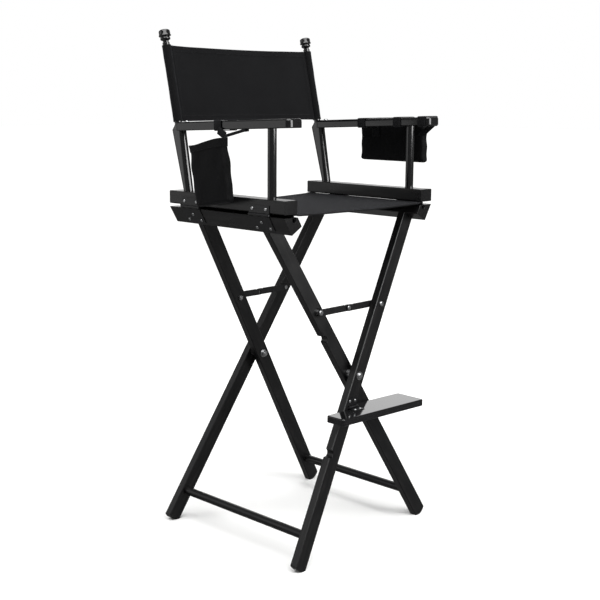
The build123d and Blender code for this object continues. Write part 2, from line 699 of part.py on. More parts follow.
outer_front_leg = make_leg(1, False, -1, notch_u=-187) - rest_seat()
for screw in rest_screws(True):
    outer_front_leg -= screw
save("leg_outer_front", [outer_front_leg])
save("leg_outer_back", [make_leg(1, False, 1)])
save("leg_inner_front", [make_leg(-1, True, -1, notch_u=110)])
save("leg_inner_back", [make_leg(-1, True, 1)])
save("stretcher_outer", [make_stretcher(1, False)])
save("stretcher_inner", [make_stretcher(-1, True)])

bolts, nuts, washers, spacers = pivot_hardware()
save("pivot_bolts", bolts)
save("pivot_nuts", nuts)
save("pivot_washers", washers)
save("pivot_spacers", spacers)

bolts, nuts = outer_brace_pins()
save("brace_pins_outer", bolts)
save("brace_nuts_outer", nuts)
bolts, nuts, spacers = inner_brace_pins()
save("brace_pins_inner", bolts)
save("brace_nuts_inner", nuts)
save("brace_spacers_inner", spacers)
for end, name in end_names.items():
    save(f"brace_link_{name}_outer", [brace_link(1, end, LINK_OUTER_Y)])
    save(f"brace_link_{name}_inner", [brace_link(-1, end, LINK_OUTER_Y - LINK_STEP)])
    save(f"brace_rivet_{name}", [brace_rivet(end)])

for side, name in side_names.items():
    leg_rail = make_leg_rail(side, inner=side < 0)
    lower_screws = hinge_screws(side, upper=False)
    for screw in lower_screws:
        leg_rail -= screw
    save(f"leg_rail_{name}", [leg_rail])
    save(f"hinge_lower_leaves_{name}", hinge_leaves(side, upper=False))
    save(f"hinge_lower_screws_{name}", lower_screws)
    save(f"hinge_pins_{name}", hinge_pins(side))
    save(f"hinge_upper_leaves_{name}", hinge_leaves(side, upper=True))
    upper_screws = hinge_screws(side, upper=True)
    save(f"hinge_upper_screws_{name}", upper_screws)

    front_post = make_front_post(side)
    back_post = make_back_post(side)
    seat_rail = make_seat_rail(side, back_post, front_post)
    for screw in upper_screws:
        seat_rail -= screw
    save(f"seat_rail_{name}", [seat_rail])
    save(f"front_post_{name}", [front_post])
    save(f"back_post_{name}", [back_post])
    save(f"finial_{name}", [make_finial(side)])
    screw = arm_screw(side)
    save(f"arm_{name}", [make_arm(side, back_post, front_post) - screw])
    save(f"arm_screw_{name}", [screw])
    save(f"seat_dowel_{name}", [seat_dowel(side)])

save("seat_canvas", [make_seat_canvas()])
save("back_canvas", [make_back_canvas()])

board = footrest_board()
for screw in rest_screws(False):
    board -= screw
save("footrest_board", [board])
save("footrest_leaf_leg", [rest_leaf_place(True) * rest_leaf(True)])
save("footrest_leaf_board", [rest_leaf_place(False) * rest_leaf(False)])
save("footrest_screws_leg", rest_screws(True))
save("footrest_screws_board", rest_screws(False))
save("footrest_pin", [rest_pin()])

save("bag_right", [right_bag()])
save("bag_left", [left_bag()])
save("bag_straps_right", [strap_loop(1, y, STRAP_REACH) for y in RIGHT_STRAP_YS])
left_straps = left_tie()
for y in LEFT_STRAP_YS:
    left_straps += strap_loop(-1, y, STRAP_REACH)
save("bag_straps_left", [left_straps])
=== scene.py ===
import math

import bmesh
import bpy
import numpy as np
from mathutils import Matrix, Vector


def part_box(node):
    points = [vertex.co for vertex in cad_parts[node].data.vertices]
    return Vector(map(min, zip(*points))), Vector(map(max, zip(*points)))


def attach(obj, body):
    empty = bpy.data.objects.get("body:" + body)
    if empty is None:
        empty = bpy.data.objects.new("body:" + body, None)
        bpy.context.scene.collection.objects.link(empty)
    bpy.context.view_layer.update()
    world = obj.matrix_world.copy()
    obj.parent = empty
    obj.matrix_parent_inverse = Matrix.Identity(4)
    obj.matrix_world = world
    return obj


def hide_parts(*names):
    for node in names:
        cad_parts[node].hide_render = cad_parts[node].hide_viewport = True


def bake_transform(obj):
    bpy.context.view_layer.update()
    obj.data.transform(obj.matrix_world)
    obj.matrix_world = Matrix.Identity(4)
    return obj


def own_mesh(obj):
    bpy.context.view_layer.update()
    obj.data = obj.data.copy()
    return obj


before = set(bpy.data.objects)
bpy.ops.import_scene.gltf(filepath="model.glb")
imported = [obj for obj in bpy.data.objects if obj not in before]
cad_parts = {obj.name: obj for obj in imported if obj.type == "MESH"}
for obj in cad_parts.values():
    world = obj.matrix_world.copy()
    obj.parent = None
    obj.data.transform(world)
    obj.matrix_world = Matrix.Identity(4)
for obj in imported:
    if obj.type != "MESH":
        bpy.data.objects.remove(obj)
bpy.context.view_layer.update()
print("frame loaded", len(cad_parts), "nodes")


# small helpers for colours, nodes and meshes

def toLinear(hexColour):
    channels = [int(hexColour[i:i + 2], 16) / 255 for i in (1, 3, 5)]
    linear = [c / 12.92 if c <= 0.04045 else ((c + 0.055) / 1.055) ** 2.4 for c in channels]
    return (*linear, 1.0)


def addNode(tree, kind, settings=None, inputs=None):
    node = tree.nodes.new(kind)
    for name, value in (settings or {}).items():
        setattr(node, name, value)
    for name, value in (inputs or {}).items():
        if isinstance(value, bpy.types.NodeSocket):
            tree.links.new(value, node.inputs[name])
        else:
            node.inputs[name].default_value = value
    return node


def startMaterial(name, roughness, specular=0.5, metallic=0.0):
    material = bpy.data.materials.new(name)
    material.use_nodes = True
    tree = material.node_tree
    shader = tree.nodes["Principled BSDF"]
    shader.inputs["Roughness"].default_value = roughness
    shader.inputs["Metallic"].default_value = metallic
    shader.inputs["Specular IOR Level"].default_value = specular
    return material, tree, shader


def mix(tree, factor, first, second):
    node = addNode(tree, "ShaderNodeMix", {"data_type": "RGBA"}, {0: factor, 6: first, 7: second})
    return node.outputs[2]


def meshObject(name, vertices, faces, material):
    mesh = bpy.data.meshes.new(name)
    mesh.from_pydata([tuple(v) for v in vertices], [], faces)
    mesh.update()
    piece = bpy.data.objects.new(name, mesh)
    bpy.context.collection.objects.link(piece)
    mesh.materials.append(material)
    return piece


def shadeSmooth(piece, angle=40):
    mesh = piece.data
    mesh.polygons.foreach_set("use_smooth", [True] * len(mesh.polygons))
    if angle < 180:
        mesh.set_sharp_from_angle(angle=math.radians(angle))


def applyModifiers(piece):
    # the evaluated mesh replaces the piece's own, so that no modifier is left on it
    graph = bpy.context.evaluated_depsgraph_get()
    mesh = bpy.data.meshes.new_from_object(piece.evaluated_get(graph))
    piece.modifiers.clear()
    piece.data = mesh
    return piece


def recalcNormals(piece):
    bm = bmesh.new()
    bm.from_mesh(piece.data)
    bmesh.ops.remove_doubles(bm, verts=bm.verts, dist=0.00001)
    bmesh.ops.recalc_face_normals(bm, faces=bm.faces)
    bm.to_mesh(piece.data)
    bm.free()


# materials

woodLook = {
    "satin": "#070708",
    "satinGrain": "#151414",    # open pores let a little brown-grey through the lacquer
    "gloss": "#050506",
    "glossGrain": "#0D0D0E",
    "grainWidthMm": 0.9,        # beech flecks are nearer 0.4 mm: drawn wider so that they show
    "legLean": math.radians(30.8),
    "arrisMm": 1.1,
}
mm = 0.001


def lacqueredWood(name, colour, grainColour, roughness, coat, grainDepth, grainAxis, turn=0.0):
    # black lacquer over open-grained hardwood: a smooth coat, with the grain as fine long lines under it
    material, tree, shader = startMaterial(name, roughness, 0.42)
    place = addNode(tree, "ShaderNodeTexCoord")
    across = woodLook["grainWidthMm"] * 8 * mm
    stretch = [across, across, across]
    stretch[grainAxis] = across * 24
    grainPlace = addNode(tree, "ShaderNodeMapping", {"vector_type": "TEXTURE"},
                         {"Vector": place.outputs["Object"], "Rotation": (0, turn, 0), "Scale": stretch})
    grain = addNode(tree, "ShaderNodeTexNoise", None,
                    {"Vector": grainPlace.outputs[0], "Scale": 1.0, "Detail": 6.0, "Roughness": 0.62})
    cloud = addNode(tree, "ShaderNodeTexNoise", None,
                    {"Vector": place.outputs["Object"], "Scale": 14.0, "Detail": 4.0})
    grainLine = addNode(tree, "ShaderNodeMapRange", None,
                        {0: grain.outputs[0], 1: 0.46, 2: 0.72, 3: 0.0, 4: 1.0})
    base = mix(tree, grainLine.outputs[0], toLinear(colour), toLinear(grainColour))
    tree.links.new(base, shader.inputs["Base Color"])
    rough = addNode(tree, "ShaderNodeMapRange", None,
                    {0: cloud.outputs[0], 1: 0.3, 2: 0.7, 3: roughness * 0.8, 4: roughness * 1.25})
    tree.links.new(rough.outputs[0], shader.inputs["Roughness"])
    arris = addNode(tree, "ShaderNodeBevel", {"samples": 6}, {"Radius": woodLook["arrisMm"] * mm})
    bump = addNode(tree, "ShaderNodeBump", None,
                   {"Height": grain.outputs[0], "Strength": grainDepth, "Distance": 0.0003,
                    "Normal": arris.outputs[0]})
    tree.links.new(bump.outputs[0], shader.inputs["Normal"])
    shader.inputs["Coat Weight"].default_value = coat
    shader.inputs["Coat Roughness"].default_value = 0.1
    return material


lean = woodLook["legLean"]
satin = (woodLook["satin"], woodLook["satinGrain"])
gloss = (woodLook["gloss"], woodLook["glossGrain"])
satinOuter = lacqueredWood("satinBlackOuterLeg", *satin, 0.34, 0.1, 0.6, 2, lean)
satinInner = lacqueredWood("satinBlackInnerLeg", *satin, 0.34, 0.1, 0.6, 2, -lean)
satinRails = lacqueredWood("satinBlackRail", *satin, 0.3, 0.12, 0.6, 1)
glossPosts = lacqueredWood("glossBlackPost", *gloss, 0.12, 1.0, 0.1, 2)
glossArms = lacqueredWood("glossBlackArm", *gloss, 0.16, 0.6, 0.12, 1)
glossBoard = lacqueredWood("glossBlackBoard", *gloss, 0.08, 0.7, 0.05, 0)
bareDowel = lacqueredWood("bareBeechDowel", "#B08D5E", "#C7A374", 0.6, 0.0, 0.4, 1)


def steel(name, colour, roughness, metallic):
    # zinc-plated or painted steel: fine blotches in the plating vary its shine
    material, tree, shader = startMaterial(name, roughness, 0.5, metallic)
    place = addNode(tree, "ShaderNodeTexCoord")
    noise = addNode(tree, "ShaderNodeTexNoise", None,
                    {"Vector": place.outputs["Object"], "Scale": 420.0, "Detail": 4.0})
    rough = addNode(tree, "ShaderNodeMapRange", None,
                    {0: noise.outputs[0], 1: 0.3, 2: 0.7, 3: roughness * 0.8, 4: roughness * 1.25})
    tint = addNode(tree, "ShaderNodeMapRange", None, {0: noise.outputs[0], 1: 0.3, 2: 0.7, 3: 0.0, 4: 1.0})
    dark = tuple(c * 0.8 for c in toLinear(colour)[:3]) + (1.0,)
    tree.links.new(mix(tree, tint.outputs[0], dark, toLinear(colour)), shader.inputs["Base Color"])
    tree.links.new(rough.outputs[0], shader.inputs["Roughness"])
    return material


zincSteel = steel("zincPlatedSteel", "#C9CACB", 0.28, 1.0)
blackSteel = steel("blackPaintedSteel", "#0E0E10", 0.34, 0.0)

clothLook = {
    "canvasThreadMm": 1.15,     # real cotton duck is nearer 0.7 mm: drawn coarser so that it shows
    "bagThreadMm": 1.0,
    "canvas": "#060607",
    "canvasLight": "#131314",
    "bag": "#040405",
    "bagLight": "#0B0B0C",
}


def wovenCloth(name, dark, light, threadMm, roughness, sheen, depth):
    # plain weave: two sets of threads cross, each raised where it passes over the other
    material, tree, shader = startMaterial(name, roughness, 0.1)
    place = addNode(tree, "ShaderNodeUVMap", {"uv_map": "cloth"})
    separate = addNode(tree, "ShaderNodeSeparateXYZ", None, {0: place.outputs[0]})
    turns = 2 * math.pi * 1000 / (2 * threadMm)
    waves = []
    for axis in ("X", "Y"):
        scaled = addNode(tree, "ShaderNodeMath", {"operation": "MULTIPLY"}, {0: separate.outputs[axis], 1: turns})
        waves.append(addNode(tree, "ShaderNodeMath", {"operation": "SINE"}, {0: scaled.outputs[0]}).outputs[0])
    weave = addNode(tree, "ShaderNodeMath", {"operation": "MULTIPLY"}, {0: waves[0], 1: waves[1]})
    slub = addNode(tree, "ShaderNodeTexNoise", None,
                   {"Vector": place.outputs[0], "Scale": 160.0, "Detail": 5.0, "Roughness": 0.65})
    cloud = addNode(tree, "ShaderNodeTexNoise", None, {"Vector": place.outputs[0], "Scale": 9.0, "Detail": 3.0})
    # painted shade: each thread is coloured darker where it lies low in the weave and lighter where it is raised;
    # the slub and cloud noise add random tone
    weaveShade = addNode(tree, "ShaderNodeMapRange", None, {0: weave.outputs[0], 1: -1.0, 2: 1.0, 3: 0.0, 4: 0.6})
    shade = addNode(tree, "ShaderNodeMath", {"operation": "MULTIPLY_ADD"},
                    {0: slub.outputs[0], 1: 0.8, 2: weaveShade.outputs[0]})
    shade = addNode(tree, "ShaderNodeMath", {"operation": "MULTIPLY"}, {0: shade.outputs[0], 1: cloud.outputs[0]})
    tree.links.new(mix(tree, shade.outputs[0], toLinear(dark), toLinear(light)), shader.inputs["Base Color"])
    height = addNode(tree, "ShaderNodeMath", {"operation": "MULTIPLY_ADD"},
                     {0: slub.outputs[0], 1: 0.7, 2: weave.outputs[0]})
    bump = addNode(tree, "ShaderNodeBump", None,
                   {"Height": height.outputs[0], "Strength": depth, "Distance": 0.0004})
    tree.links.new(bump.outputs[0], shader.inputs["Normal"])
    shader.inputs["Sheen Weight"].default_value = sheen
    shader.inputs["Sheen Roughness"].default_value = 0.45
    shader.inputs["Sheen Tint"].default_value = (0.9, 0.92, 1.0, 1.0)
    return material


canvasCloth = wovenCloth("cottonDuck", clothLook["canvas"], clothLook["canvasLight"],
                         clothLook["canvasThreadMm"], 0.85, 0.06, 0.55)
bagCloth = wovenCloth("coatedPackCloth", clothLook["bag"], clothLook["bagLight"],
                      clothLook["bagThreadMm"], 0.55, 0.03, 0.4)
webbing = wovenCloth("nylonWebbing", "#0A0A0B", "#1C1C1E", 1.6, 0.55, 0.04, 0.8)
threadLook = wovenCloth("sewingThread", "#141415", "#2A2A2B", 0.5, 0.55, 0.08, 0.3)
print("materials made")


# finishes of the pieces kept from the frame

finishes = {
    "leg_outer": satinOuter, "leg_inner": satinInner, "stretcher": satinRails, "leg_rail": satinRails,
    "seat_rail": satinRails, "front_post": glossPosts, "back_post": glossPosts, "finial": glossPosts,
    "arm_left": glossArms, "arm_right": glossArms, "footrest_board": glossBoard, "seat_dowel": bareDowel,
    "hinge_upper_leaves": blackSteel, "hinge_lower_leaves": blackSteel, "footrest_leaf": blackSteel,
    "brace_link": blackSteel,
}
for nodeName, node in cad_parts.items():
    finish = next((m for start, m in finishes.items() if nodeName.startswith(start)), zincSteel)
    node.data.materials.clear()
    node.data.materials.append(finish)
print("finishes given to", len(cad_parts), "nodes")


# turned pieces: profiles run up the axis as (radius, height) in millimetres
chair = {
    "shiftY": 5.75, "railTop": 785.0, "postX": 224.0, "backPostY": 135.3, "backLean": math.radians(12.7),
    "armMidY": -20.5, "armBottom": 924.0, "armTilt": math.radians(2.3), "armThick": 19.0, "armHalf": 21.5,
    "frontPostRadius": 9.5, "postEase": 0.6, "postEnd": 332.0,
}
finialProfile = [(0, 0), (6.5, 0), (6.4, 3.2), (7.4, 4.6), (10.4, 6.0), (11.4, 8.0), (11.4, 10.2), (10.2, 11.6),
                 (10.0, 12.6), (13.2, 14.0), (14.0, 15.4), (13.4, 17.0), (12.8, 18.2), (12.9, 24.2), (12.2, 26.4),
                 (9.6, 28.2), (5.0, 29.2), (0, 29.5)]


def inPlace(x, y, z):
    # millimetres in the chair's own layout to metres in the frame
    return Vector((x * mm, (y + chair["shiftY"]) * mm, z * mm))


def turnedPiece(name, foot, axis, profile, material, around=48):
    side = axis.cross(Vector((0, 1, 0)) if abs(axis.y) < 0.9 else Vector((1, 0, 0))).normalized()
    other = axis.cross(side)
    vertices, faces, rings = [], [], []
    for radius, height in profile:
        start = len(vertices)
        centre = foot + axis * (height * mm)
        if radius == 0:
            vertices.append(centre)
            rings.append([start] * around)
            continue
        for i in range(around):
            angle = 2 * math.pi * i / around
            vertices.append(centre + (side * math.cos(angle) + other * math.sin(angle)) * (radius * mm))
        rings.append([start + i for i in range(around)])
    for low, high in zip(rings, rings[1:]):
        for i in range(around):
            j = (i + 1) % around
            corners = []
            for corner in (low[i], low[j], high[j], high[i]):
                if corner not in corners:
                    corners.append(corner)
            faces.append(tuple(corners))
    piece = meshObject(name, vertices, faces, material)
    recalcNormals(piece)
    shadeSmooth(piece, 42)
    return piece


leanUp = Vector((0, math.sin(chair["backLean"]), math.cos(chair["backLean"])))
leanBack = Vector((0, math.cos(chair["backLean"]), -math.sin(chair["backLean"])))


def backPoint(x, along, depth=0.0):
    return inPlace(x, chair["backPostY"], chair["railTop"]) + leanUp * (along * mm) + leanBack * (depth * mm)


for side, hand in ((1, "right"), (-1, "left")):
    knob = turnedPiece("turnedFinial_" + hand, backPoint(side * chair["postX"], chair["postEnd"]), leanUp,
                       finialProfile, glossPosts)
    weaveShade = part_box("front_post_" + hand)
    height = (weaveShade[1][2] - weaveShade[0][2]) / mm
    radius = chair["frontPostRadius"]
    foot = Vector(((weaveShade[0][0] + weaveShade[1][0]) / 2, (weaveShade[0][1] + weaveShade[1][1]) / 2, weaveShade[0][2]))
    ease = chair["postEase"]
    profile = [(0, 0), (radius - ease, 0), (radius, ease), (radius, height - ease),
               (radius - ease, height), (0, height)]
    post = turnedPiece("turnedPost_" + hand, foot, Vector((0, 0, 1)), profile, glossPosts, 64)
    for piece, node in ((knob, "finial_"), (post, "front_post_")):
        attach(piece, hand + "_side")
        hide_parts(node + hand)
print("turned pieces made")


# cloth panels, rolls and bands

def setCloth(piece, coordinates):
    layer = piece.data.uv_layers.new(name="cloth")
    for loop in piece.data.loops:
        layer.data[loop.index].uv = coordinates[loop.vertex_index]


def clothPanel(name, surface, thickness, normal, counts, size, material):
    # a closed sheet: its two faces are half the thickness either side of the surface
    across, along = counts
    vertices, coordinates = [], []
    for sign in (1, -1):
        for j in range(along + 1):
            for i in range(across + 1):
                u, v = i / across, j / along
                vertices.append(surface(u, v) + normal * (sign * thickness(u, v) / 2 * mm))
                coordinates.append((u * size[0] * mm, v * size[1] * mm))
    row = across + 1
    layer = row * (along + 1)
    faces = []
    for j in range(along):
        for i in range(across):
            k = j * row + i
            faces.append((k, k + 1, k + row + 1, k + row))
            faces.append((k + layer, k + layer + row, k + layer + row + 1, k + layer + 1))
    rim = list(range(row)) + [j * row + across for j in range(1, along + 1)]
    rim += [along * row + i for i in range(across - 1, -1, -1)] + [j * row for j in range(along - 1, 0, -1)]
    for k, start in enumerate(rim):
        end = rim[(k + 1) % len(rim)]
        faces.append((start, start + layer, end + layer, end))
    piece = meshObject(name, vertices, faces, material)
    setCloth(piece, coordinates)
    recalcNormals(piece)
    shadeSmooth(piece, 60)
    return piece


def sweep(name, path, ring, material, closed=False):
    # ring(k) gives the outline's points at step k of the path; coordinates run round and along
    vertices, coordinates, faces = [], [], []
    travelled = 0.0
    count = len(ring(0))
    steps = len(path)
    for k, point in enumerate(path):
        if k:
            travelled += (point - path[k - 1]).length
        outline = ring(k)
        around = 0.0
        for i, offset in enumerate(outline):
            if i:
                around += (offset - outline[i - 1]).length
            vertices.append(point + offset)
            coordinates.append((around, travelled))
    last = steps if closed else steps - 1
    for k in range(last):
        for i in range(count):
            j = (i + 1) % count
            n = (k + 1) % steps
            faces.append((k * count + i, k * count + j, n * count + j, n * count + i))
    if not closed:
        faces.append(tuple(range(count))[::-1])
        faces.append(tuple((steps - 1) * count + i for i in range(count)))
    piece = meshObject(name, vertices, faces, material)
    setCloth(piece, coordinates)
    recalcNormals(piece)
    shadeSmooth(piece, 50)
    return piece


def band(name, path, widthAxis, width, thickness, material, closed=False):
    # flat webbing that follows a path, its width along one fixed axis
    def ring(k):
        if closed:
            before, after = path[k - 1], path[(k + 1) % len(path)]
        else:
            before, after = path[max(k - 1, 0)], path[min(k + 1, len(path) - 1)]
        normal = (after - before).cross(widthAxis).normalized()
        half, thick = widthAxis * (width / 2 * mm), normal * (thickness / 2 * mm)
        soft = 0.82
        return [half * soft + thick, half + thick * 0.3, half - thick * 0.3, half * soft - thick,
                -half * soft - thick, -half - thick * 0.3, -half + thick * 0.3, -half * soft + thick]
    return sweep(name, path, ring, material, closed)


def roundedPath(points, radius, steps=5):
    # a closed run of straight lines with its corners turned on small arcs
    path = []
    for k, corner in enumerate(points):
        before = (points[k - 1] - corner).normalized()
        after = (points[(k + 1) % len(points)] - corner).normalized()
        start, end = corner + before * (radius * mm), corner + after * (radius * mm)
        for i in range(steps + 1):
            t = i / steps
            path.append(start * (1 - t) ** 2 + corner * (2 * t * (1 - t)) + end * t * t)
    return path


def stitchTree():
    # a row of thread stitches along every edge line of a mesh
    tree = bpy.data.node_groups.new("stitchRow", "GeometryNodeTree")
    face = tree.interface
    face.new_socket("Rows", in_out="INPUT", socket_type="NodeSocketGeometry")
    for name, value in (("Pitch", 0.0042), ("Stitch Length", 0.003), ("Thread Radius", 0.00035)):
        face.new_socket(name, in_out="INPUT", socket_type="NodeSocketFloat").default_value = value
    face.new_socket("Thread", in_out="INPUT", socket_type="NodeSocketMaterial")
    face.new_socket("Stitches", in_out="OUTPUT", socket_type="NodeSocketGeometry")
    given = addNode(tree, "NodeGroupInput")
    curve = addNode(tree, "GeometryNodeMeshToCurve", None, {"Mesh": given.outputs["Rows"]})
    points = addNode(tree, "GeometryNodeResampleCurve", {"mode": "LENGTH"},
                     {"Curve": curve.outputs[0], "Length": given.outputs["Pitch"]})
    tangent = addNode(tree, "GeometryNodeInputTangent")
    turn = addNode(tree, "FunctionNodeAlignRotationToVector", {"axis": "Z"}, {"Vector": tangent.outputs[0]})
    bead = addNode(tree, "GeometryNodeMeshUVSphere", None, {"Segments": 6, "Rings": 4, "Radius": 1.0})
    half = addNode(tree, "ShaderNodeMath", {"operation": "MULTIPLY"}, {0: given.outputs["Stitch Length"], 1: 0.5})
    scale = addNode(tree, "ShaderNodeCombineXYZ", None, {
        "X": given.outputs["Thread Radius"], "Y": given.outputs["Thread Radius"], "Z": half.outputs[0]})
    thread = addNode(tree, "GeometryNodeTransform", None, {"Geometry": bead.outputs[0], "Scale": scale.outputs[0]})
    placed = addNode(tree, "GeometryNodeInstanceOnPoints", None, {
        "Points": points.outputs[0], "Instance": thread.outputs[0], "Rotation": turn.outputs[0]})
    real = addNode(tree, "GeometryNodeRealizeInstances", None, {0: placed.outputs[0]})
    painted = addNode(tree, "GeometryNodeSetMaterial", None,
                      {"Geometry": real.outputs[0], "Material": given.outputs["Thread"]})
    addNode(tree, "NodeGroupOutput", None, {0: painted.outputs[0]})
    return tree


stitches = stitchTree()


def stitchRows(name, rows, pitch=4.2):
    vertices, edges = [], []
    for row in rows:
        first = len(vertices)
        vertices.extend(row)
        edges.extend((k, k + 1) for k in range(first, len(vertices) - 1))
    mesh = bpy.data.meshes.new(name)
    mesh.from_pydata([tuple(v) for v in vertices], edges, [])
    piece = bpy.data.objects.new(name, mesh)
    bpy.context.collection.objects.link(piece)
    maker = piece.modifiers.new("stitches", "NODES")
    maker.node_group = stitches
    sockets = {item.name: item.identifier for item in stitches.interface.items_tree if item.in_out == "INPUT"}
    maker[sockets["Pitch"]] = pitch * mm
    maker[sockets["Stitch Length"]] = pitch * 0.72 * mm
    maker[sockets["Thread Radius"]] = 0.00036
    maker[sockets["Thread"]] = threadLook
    applyModifiers(piece)
    piece.data.uv_layers.new(name="cloth")
    shadeSmooth(piece, 180)
    return piece


def smoothStep(low, high, value):
    t = min(max((value - low) / (high - low), 0.0), 1.0)
    return t * t * (3 - 2 * t)


# seat canvas

seat = {
    "halfWidth": 213.0, "halfDepth": 179.0, "level": 753.0, "sag": 4.0, "drawIn": 3.5,
    "cloth": 1.6, "hemExtra": 1.1, "hemWidth": 19.0,
    "freeHalf": 200, "railFace": 203, "pinchFrom": 195, "railLift": 1.5,
    "dowelX": 212.0, "dowelZ": 743.9, "roll": 4.9, "rollBore": 3.62, "foldRoom": 25,
}


def seatSurface(u, v):
    x = (2 * u - 1) * seat["halfWidth"]
    s = 2 * v - 1
    free = max(0.0, 1 - (x / seat["freeHalf"]) ** 2)
    y = s * (seat["halfDepth"] - seat["drawIn"] * free * s * s)
    z = seat["level"] - seat["sag"] * free * (0.75 + 0.25 * (1 - s * s))
    nearRail = math.exp(-max(0.0, seat["railFace"] - abs(x)) / 30)
    z += 0.5 * math.sin(y / 13 + 0.7 * math.sin(y / 31)) * nearRail * free ** 0.5
    # pinched up against the rails
    z += seat["railLift"] * smoothStep(seat["pinchFrom"], seat["railFace"], abs(x))
    z += 0.5 * math.sin(x / 47 + y / 60) * free
    return inPlace(x, y, z)


def seatThickness(u, v):
    edge = min(v, 1 - v) * 2 * seat["halfDepth"]
    return seat["cloth"] + seat["hemExtra"] * (1 - smoothStep(seat["hemWidth"] - 1.5, seat["hemWidth"], edge))


up = Vector((0, 0, 1))
seatPanel = clothPanel("seatCanvas", seatSurface, seatThickness, up, (90, 150),
                       (2 * seat["halfWidth"], 2 * seat["halfDepth"]), canvasCloth)


def seatRow(edge, side):
    v = edge / (2 * seat["halfDepth"])
    rows = []
    for share in (v, 1 - v):
        weaveShade = seatThickness(0.5, share) / 2 + 0.15
        rows.append([seatSurface(0.035 + 0.93 * k / 120, share) + up * (side * weaveShade * mm) for k in range(121)])
    return rows


seatStitches = stitchRows("seatStitches", seatRow(3.0, 1) + seatRow(16.0, 1)
                          + seatRow(3.0, -1) + seatRow(16.0, -1))

for piece in (seatPanel, seatStitches):
    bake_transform(piece)
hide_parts("seat_canvas")


def hemRoll(name, side):
    # the hem wrapped round its dowel; the short neck that runs up to the sheet is made by hemNeck
    turns = 28
    path = [inPlace(side * seat["dowelX"], y, seat["dowelZ"]) for y in np.linspace(-179, 179, 24)]
    outline = []
    for i in range(turns):
        angle = 2 * math.pi * i / turns
        outline.append(Vector((math.cos(angle), 0, math.sin(angle))) * (seat["roll"] * mm))
    inside = [v * (seat["rollBore"] / seat["roll"]) for v in outline]
    ring = outline + [outline[0]] + [inside[0]] + inside[::-1]
    return sweep(name, path, lambda k: ring, canvasCloth)


def hemNeck(name, side):
    # the doubled cloth that rises from the dowel to the sheet
    def surface(u, v):
        ripple = 0.25 * math.sin(v * 41)
        return inPlace(side * (seat["dowelX"] - 0.4 + ripple), (2 * v - 1) * 178.6, seat["dowelZ"] + 2.5 + 6.9 * u)
    return clothPanel(name, surface, lambda u, v: 2.4, Vector((1, 0, 0)), (4, 60), (7, 357), canvasCloth)


for hand, side, body in (("Right", 1, "outer_frame"), ("Left", -1, "inner_frame")):
    for piece in (hemRoll("seatHem" + hand, side), hemNeck("seatNeck" + hand, side)):
        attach(piece, body)
print("seat canvas made")


# back canvas

back = {
    "from": 156.0, "to": 326.0, "half": 214.6, "cloth": 1.7, "hemExtra": 1.0, "hemWidth": 14.0,
    "bow": 3.5, "sleeve": 9.9, "sleeveInside": 8.35,
    "closesBy": 370.0,          # how much nearer the posts come when folded
}


def backSurface(u, v):
    x = (2 * u - 1) * back["half"]
    free = max(0.0, 1 - (x / back["half"]) ** 2)
    s = 2 * v - 1
    along = (back["from"] + back["to"]) / 2 + s * ((back["to"] - back["from"]) / 2 - 2.0 * free * s * s)
    depth = back["bow"] * free
    depth += 1.3 * math.exp(-((x + 160) / 26) ** 2) * (0.6 + 0.4 * s) - 1.0 * math.exp(-((x - 150) / 34) ** 2)
    depth += 0.45 * math.sin(along / 11 + x / 90) * math.exp(-(back["half"] - abs(x)) / 24) * min(1.0, free * 6)
    return backPoint(x, along, depth)


def backThickness(u, v):
    edge = min(v, 1 - v) * (back["to"] - back["from"])
    side = min(u, 1 - u) * 2 * back["half"]
    hem = 1 - smoothStep(back["hemWidth"] - 1.5, back["hemWidth"], edge)
    casing = 1 - smoothStep(8.5, 10.0, side)
    return back["cloth"] + back["hemExtra"] * max(hem, casing)


backPanel = clothPanel("backCanvas", backSurface, backThickness, leanBack, (150, 100),
                       (2 * back["half"], back["to"] - back["from"]), canvasCloth)


def backRows(side):
    height = back["to"] - back["from"]
    rows = []
    for edge in (2.5, 12.0):
        for share in (edge / height, 1 - edge / height):
            rows.append([backSurface(0.004 + 0.992 * k / 150, share)
                         + leanBack * (side * (backThickness(0.5, share) / 2 + 0.15) * mm) for k in range(151)])
    for edge in (3.0, 7.5):
        for share in (edge / (2 * back["half"]), 1 - edge / (2 * back["half"])):
            rows.append([backSurface(share, k / 60)
                         + leanBack * (side * (backThickness(share, 0.5) / 2 + 0.15) * mm) for k in range(61)])
    return rows


backStitches = stitchRows("backStitches", backRows(-1) + backRows(1))
for piece in (backPanel, backStitches):
    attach(piece, "right_side")
    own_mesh(piece)
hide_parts("back_canvas")

for name, side in (("backSleeveRight", 1), ("backSleeveLeft", -1)):
    steps = 60
    path = [backPoint(side * chair["postX"], back["from"] + (back["to"] - back["from"]) * k / steps)
            for k in range(steps + 1)]

    def sleeveRing(k):
        share = k / steps
        flare = 1 + 0.02 * math.sin(share * 9) + 0.035 * (1 - smoothStep(0.0, 0.05, min(share, 1 - share)))
        outer, inner = [], []
        for i in range(36):
            angle = 2 * math.pi * i / 36
            pucker = 1 + 0.012 * math.sin(3 * angle + share * 23)
            direction = Vector((1, 0, 0)) * math.cos(angle) + leanBack * math.sin(angle)
            outer.append(direction * (back["sleeve"] * flare * pucker * mm))
            inner.append(direction * (back["sleeveInside"] * mm))
        return outer + [outer[0]] + [inner[0]] + inner[::-1]

    sleeve = sweep(name, path, sleeveRing, canvasCloth)
    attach(sleeve, name.replace("backSleeve", "").lower() + "_side")
print("back canvas made")


# bags on the arms

bagLeft = {"place": (-268.0, 8.0, 833.0), "size": (25.0, 108.0, 136.0), "tilt": math.radians(-9.5),
           "body": "left_side", "node": "bag_left", "seed": 3.1, "wrinkle": 2.4}
bagRight = {"place": (268.0, -43.0, 893.0), "size": (25.0, 196.0, 104.0), "tilt": 0.0,
            "body": "right_side", "node": "bag_right", "seed": 7.7, "wrinkle": 1.8}


